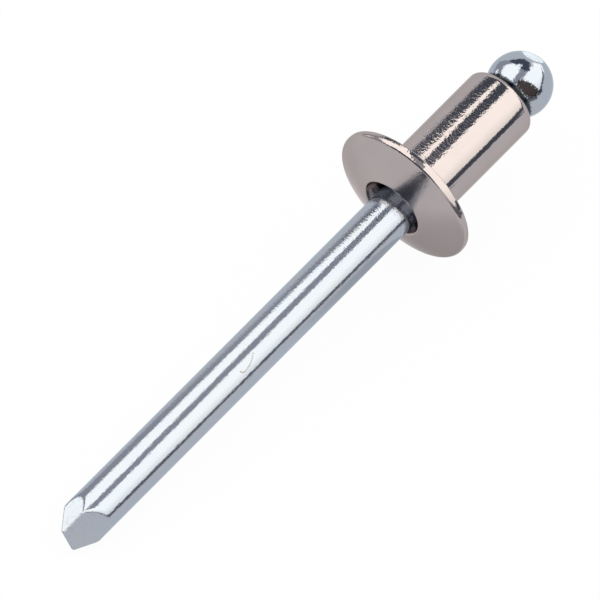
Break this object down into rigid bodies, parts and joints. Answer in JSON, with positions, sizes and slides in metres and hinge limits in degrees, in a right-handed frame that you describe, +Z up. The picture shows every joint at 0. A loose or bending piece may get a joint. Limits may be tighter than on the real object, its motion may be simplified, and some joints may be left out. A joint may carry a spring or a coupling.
{
  "type": "pop rivet",
  "caption": "Open-end blind rivet, not yet set: tubular sleeve with a domed flange, and a headed mandrel with a pinched point through it.",
  "frame": {"origin": "on the sleeve's axis, level with the flange's seat", "axes": "+X along the rivet, from the mandrel's point to its head; +Z up, with the rivet lying on its flange's rim and a corner of its mandrel's point"},
  "size_m": [0.0444, 0.0096, 0.0096],
  "materials": {
    "bright_nickel": "bright rolled nickel, fine grain",
    "zinc_plate": "bright blue zinc plate"
  },
  "bodies": {
    "root": {"rivet_body": "bright_nickel", "mandrel": "zinc_plate"}
  },
  "joints": []
}
